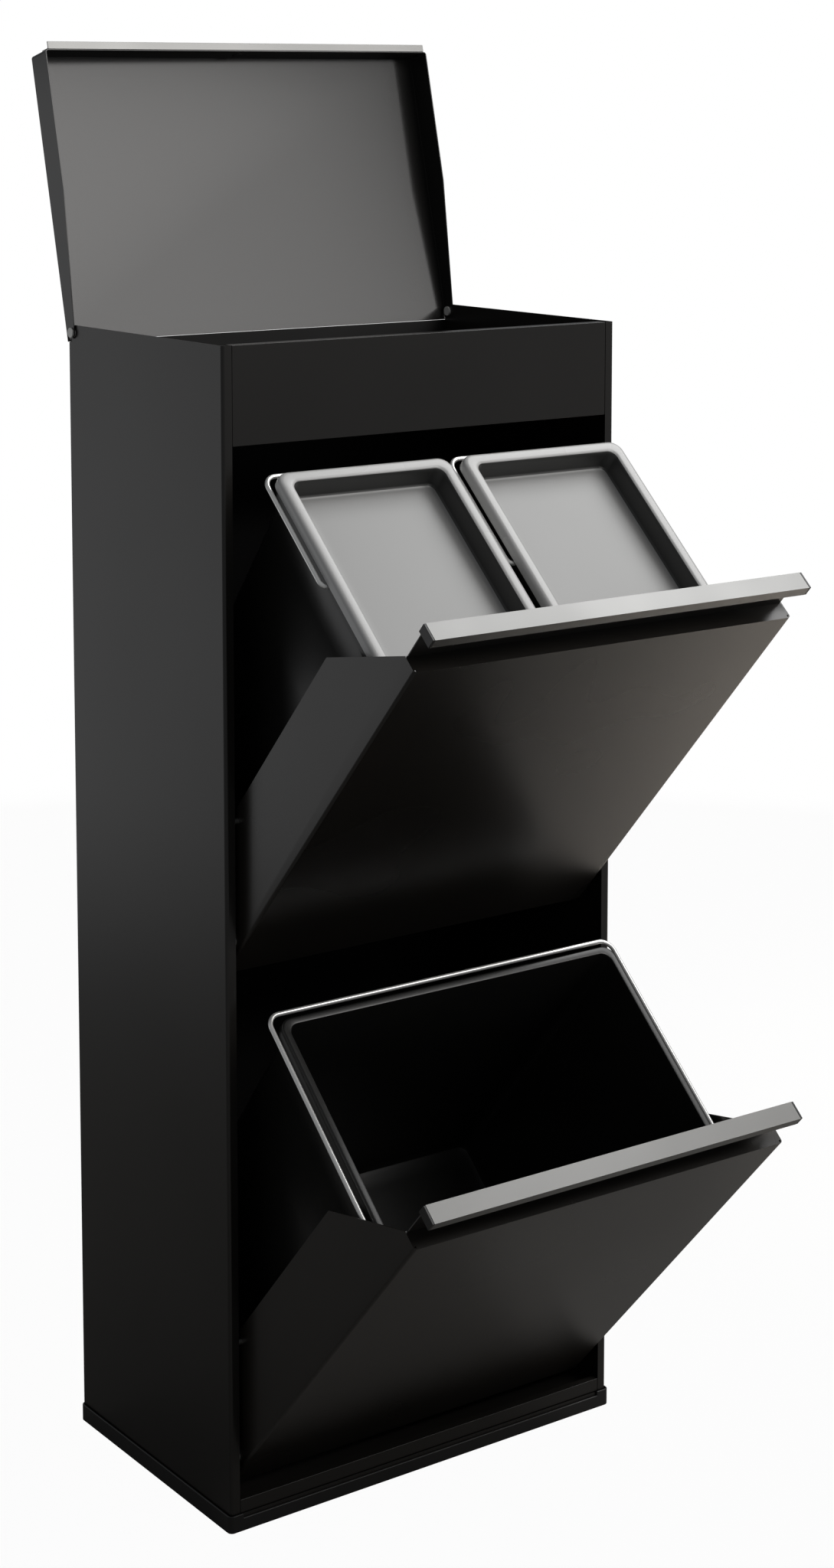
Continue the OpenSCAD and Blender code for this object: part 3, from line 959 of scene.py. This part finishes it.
@dataclass
class TiltDrawer:
    """One tilt-out drawer: its folded front, handle, cradle and stops.

    Attributes:
        level: "upper" or "lower".
        pivot_z: The height of its pivots in mm.
        tilt: Its opening angle in degrees.
        front_y: The cabinet's front plane in mm.
        pivot_inset: The pivots' distance behind the closed front, in mm.
        rail_length: The handle rail's length in mm.
        rivet_count: How many rivets hold the handle.
        rivet_y: How far behind the closed front the rivets sit, in mm.
        rivet_z: Their height above the pivots in the closed drawer, in mm.
        rivet_radius: A rivet head's radius in mm.
        rivet_head: A rivet head's height in mm.
        fold_edge: The rounding of the folded front's edges, in mm.
        handle_edge: The rounding of the handle's edges, in mm.
        cap_edge: The rounding of the handle plugs' edges, in mm.
    """

    level: str
    pivot_z: float
    tilt: float = 42.0
    front_y: float = -132.5
    pivot_inset: float = 13.0
    rail_length: float = 392.6
    rivet_y: float = 18.6
    rivet_z: float = 423.5
    rivet_count: int = 4
    rivet_radius: float = 3.2
    rivet_head: float = 0.8
    fold_edge: float = 0.35
    handle_edge: float = 0.6
    cap_edge: float = 0.3

    @property
    def body(self) -> str:
        """The CAD body that carries the drawer."""
        return f"{self.level}_drawer"

    def place(self) -> Matrix:
        """Where the open drawer stands.

        Returns:
            What carries mm in the closed drawer, from its front plane and pivots, to metres in the row frame.
        """
        carry = Matrix.Translation((0, self.front_y + self.pivot_inset, self.pivot_z))
        turn = Matrix.Rotation(math.radians(self.tilt), 4, "X")
        return Matrix.Scale(MM, 4) @ carry @ turn @ Matrix.Translation((0, -self.pivot_inset, 0))

    def build(self) -> None:
        """Builds and dresses the drawer."""
        for part, piece, edge, steps, finish in (
            ("door", "folded_front", self.fold_edge, 2, FRONT_COAT),
            ("handle", "drawn_handle", self.handle_edge, 3, HANDLE_METAL),
            ("handle_caps", "handle_caps", self.cap_edge, 2, CAP_PLASTIC),
        ):
            Softener(edge, steps).make(f"{self.level}_{part}", f"{piece}_{self.level}", self.body, finish)
        dress(f"{self.level}_cradle", INNER_COAT)
        dress(f"{self.level}_pivot_bushes", BUSH_PLASTIC)
        dress(f"{self.level}_stop_studs", PIN_STEEL)
        self.rivets()

    def rivets(self) -> None:
        """Sets the rivets that hold the handle to its riser, with heads on the hidden side."""
        place = self.place()
        step = self.rail_length / self.rivet_count
        points = [
            place @ Vector(((i - (self.rivet_count - 1) / 2) * step, self.rivet_y, self.rivet_z))
            for i in range(self.rivet_count)
        ]
        turn = (math.radians(self.tilt) - math.pi / 2, 0, 0)
        row = RivetRow().row(
            f"blind_rivets_{self.level}", points, self.rivet_radius, self.rivet_head, turn, RIVET_STEEL
        )
        enlist(row, RIVET_STEEL, self.body, [f"{self.level}_handle_rivets"])


class LidTone(Enum):
    """Which of its finishes a stretch of a bin lid wears, in the order of the lid's materials."""

    PANEL = 0
    BORDER = 1
    WALL = 2


@dataclass
class Bin:
    """One lift-out bin with its bail and, on the small ones, its lid. Sizes are in mm in the closed drawer.

    Attributes:
        name: "left", "right" or "large".
        drawer: The drawer that carries it.
        width: Its width over the rim.
        centre_x: Where its middle is.
        bail_y: Where its bail turns.
        lidded: Whether it has a lid.
        depth: Its depth over the rim.
        centre_y: Where its middle is, behind the closed front.
        top: The rim's height.
        bottom: The underside's height.
        wall: Its walls' thickness.
        taper: How far its walls lean in, from rim to underside.
        rim: How far its rim stands out.
        rim_drop: How far its rolled rim hangs down.
        step_drop: How far the stacking step lies below the rim's top.
        wire: The bail wire's radius.
        wire_out: How far the bail lies outside the rim.
        wire_drop: How far the bail lies below the rim's top.
        wire_turn_in: How far the bail's ends reach in past the rim's outline.
        wire_y: Where the bail's bar lies.
        wire_bend: The bail's bend radius.
        lid_side: How far the lid stands out past the rim, at the sides.
        lid_over: How far it stands out at front and rear.
        lid_stack: How far it stands above the rim.
        lid_sheet: The thickness of its recess's floor.
        recess: The depth of its recess.
        recess_gap: How far the recess stays off the bin's inner wall.
    """

    name: str
    drawer: TiltDrawer
    width: float
    centre_x: float
    bail_y: float
    lidded: bool
    depth: float = 224.3
    centre_y: float = 136.35
    top: float = 335.41
    bottom: float = 11.2
    wall: float = 2.2
    taper: float = 12.0
    rim: float = 5.0
    rim_drop: float = 10.0
    step_drop: float = 46.0
    wire: float = 2.1
    wire_out: float = 5.6
    wire_drop: float = 6.0
    wire_turn_in: float = 0.6
    wire_y: float = 256.6
    wire_bend: float = 12.0
    lid_side: float = 2.0
    lid_over: float = 2.5
    lid_stack: float = 7.0
    lid_sheet: float = 1.6
    recess: float = 21.0
    recess_gap: float = 1.4

    def place(self) -> Matrix:
        """What carries mm round the bin's own middle line to the row frame."""
        return self.drawer.place() @ Matrix.Translation((self.centre_x, self.centre_y, 0))

    @property
    def wire_z(self) -> float:
        """The bail's height in the closed drawer."""
        return self.top - self.wire_drop

    def inset(self, height: float) -> float:
        """How far the outer wall lies inside the rim at a height."""
        return self.rim + self.taper * (self.top - height) / (self.top - self.bottom)

    def body_rings(self) -> tuple[Ring, ...]:
        """The bin's levels: base, outer wall with a stacking step, skirt, rim roll, inner wall and floor.

        Returns:
            The levels, from the underside up the outside, then down the inside.
        """
        low, top, w = self.bottom, self.top, self.wall
        step = top - self.step_drop
        lip = top - self.rim_drop
        foot, mouth = self.inset(low), self.inset(top - 12)
        outer = (
            (foot + 9, low + 1.2, 6), (foot + 7, low, 7), (foot + 2.2, low, 9.5), (foot + 0.7, low + 0.8, 11),
            (foot, low + 2.6, 12), (self.inset(120), 120, 12), (self.inset(220), 220, 12),
            (self.inset(step), step, 12), (self.inset(step) - 0.9, step + 1.4, 12.4),
            (mouth - 0.4, top - 12, 12), (self.rim - 0.1, top - 2.4, 11), (self.rim - 0.6, top - 2.0, 10.8),
            (2.0, top - 2.0, 10.4), (1.5, top - 2.5, 10.5), (1.5, lip + 0.3, 10.5), (1.2, lip, 10.8),
            (0.3, lip, 11.7), (0.0, lip + 0.4, 12), (0.0, top - 1.6, 12), (0.35, top - 0.6, 11.8),
            (1.2, top - 0.05, 11), (1.9, top, 10.5),
        )
        inner = (
            (self.rim + w - 1.6, top, 10.2), (self.rim + w - 0.6, top - 0.3, 9.9),
            (self.inset(top - 2) + w, top - 2, 9.8), (self.inset(220) + w, 220, 9.8),
            (self.inset(120) + w, 120, 9.8), (self.inset(low + 11) + w, low + 11, 9.8),
            (self.inset(low + 8) + w + 0.6, low + 6.5, 9.4), (self.inset(low + 5) + w + 2.4, low + 3.6, 8.6),
            (foot + w + 6, low + w + 0.1, 7), (foot + w + 20, low + w, 5),
        )
        return tuple(Ring(*at) for at in outer + inner)

    def lid_rings(self) -> tuple[Ring, ...]:
        """The lid's levels: the recess's underside, the hollow border, the skirt, the crown and the recess.

        Returns:
            The levels, from the underside outwards and up, then down into the recess.
        """
        top, base = self.top + self.lid_stack, self.top
        wall_out = self.lid_over + self.rim + self.wall + self.recess_gap
        floor = top - self.recess
        sole = floor - self.lid_sheet
        skirt = self.wire_z + self.wire + 0.8
        under = (
            (wall_out + 16, sole, 5), (wall_out + 3, sole, 6), (wall_out + 0.8, sole + 0.6, 8),
            (wall_out, floor + 1.2, 9), (wall_out, base + 2.8, 9), (wall_out - 0.8, base + 4.4, 9.5),
            (3.2, base + 4.4, 10), (1.9, base + 3.0, 10.4), (1.6, base + 1.0, 10.4),
        )
        border = (
            (1.6, skirt + 0.3, 10.4), (1.2, skirt, 10.8), (0.4, skirt, 11.6), (0.0, skirt + 0.5, 12),
            (0.0, top - 4.2, 12), (0.3, top - 2.4, 11.8), (1.2, top - 0.9, 11.2), (2.6, top - 0.15, 10.4),
            (3.8, top, 10), (wall_out - 2.2, top, 8.6), (wall_out - 0.9, top - 0.25, 8.3),
            (wall_out + 0.3, top - 1.1, 8.1),
        )
        wall = (
            (wall_out + 1.1, top - 2.8, 8.0), (wall_out + 1.4, top - 5, 8.0),
            (wall_out + 1.7, floor + 4.2, 7.8), (wall_out + 2.2, floor + 2.0, 7.4),
            (wall_out + 3.6, floor + 0.6, 6.6),
        )
        panel = ((wall_out + 6.0, floor, 5.6), (wall_out + 22, floor, 4))
        # The border's paler finish is a painted highlight and the wall's darker one is painted shade.
        tones = (
            (under, LidTone.PANEL), (border, LidTone.BORDER), (wall, LidTone.WALL), (panel, LidTone.PANEL),
        )
        return tuple(Ring(*at, tone.value) for part, tone in tones for at in part)

    def build(self) -> None:
        """Builds the bin, its bail and its lid."""
        name = f"moulded_bin_{self.name}"
        body = Moulding(self.width, self.depth, self.body_rings()).mesh(name, self.place())
        enlist(link_object(name, body), BIN_PLASTIC, f"{self.name}_bin", [f"{self.name}_bin"])
        self.bail()
        if self.lidded:
            name = f"moulded_lid_{self.name}"
            shape = Moulding(self.width + 2 * self.lid_side, self.depth + 2 * self.lid_over, self.lid_rings())
            lid = link_object(name, shape.mesh(name, self.place()))
            for finish in (LID_PLASTIC, LID_BORDER, LID_WALL):
                lid.data.materials.append(finish.material())
            enlist(lid, LID_PLASTIC, f"{self.name}_bin_lid", [f"{self.name}_bin_lid"])

    def bail(self) -> None:
        """Bends the bail: two inturned ends, two legs and the bar behind the rim."""
        place = self.drawer.place()
        end, leg = self.width / 2 - self.wire_turn_in, self.width / 2 + self.wire_out
        left = [(-end, self.bail_y), (-leg, self.bail_y), (-leg, self.wire_y)]
        right = [(-x, y) for x, y in reversed(left)]
        points = [place @ Vector((self.centre_x + x, y, self.wire_z)) for x, y in left + right]
        piece = BentWire().wire(f"bent_bail_{self.name}", points, self.wire, self.wire_bend, BAIL_WIRE)
        enlist(piece, BAIL_WIRE, f"{self.name}_bail", [f"{self.name}_bail"])


def main() -> None:
    """Builds the studio and then the cabinet, from its shell to its bins."""
    logging.basicConfig(level=logging.INFO, format="%(name)s: %(message)s")
    Studio().build()
    Shell().build()
    Lid().build()
    upper, lower = TiltDrawer("upper", 532.0), TiltDrawer("lower", 64.5)
    upper.build()
    lower.build()
    for tub in (
        Bin("left", upper, width=175.5, centre_x=-96.25, bail_y=136.35, lidded=True),
        Bin("right", upper, width=175.5, centre_x=96.25, bail_y=136.35, lidded=True),
        Bin("large", lower, width=368.0, centre_x=0.0, bail_y=50.2, lidded=False),
    ):
        tub.build()


if __name__ == "__main__":
    main()
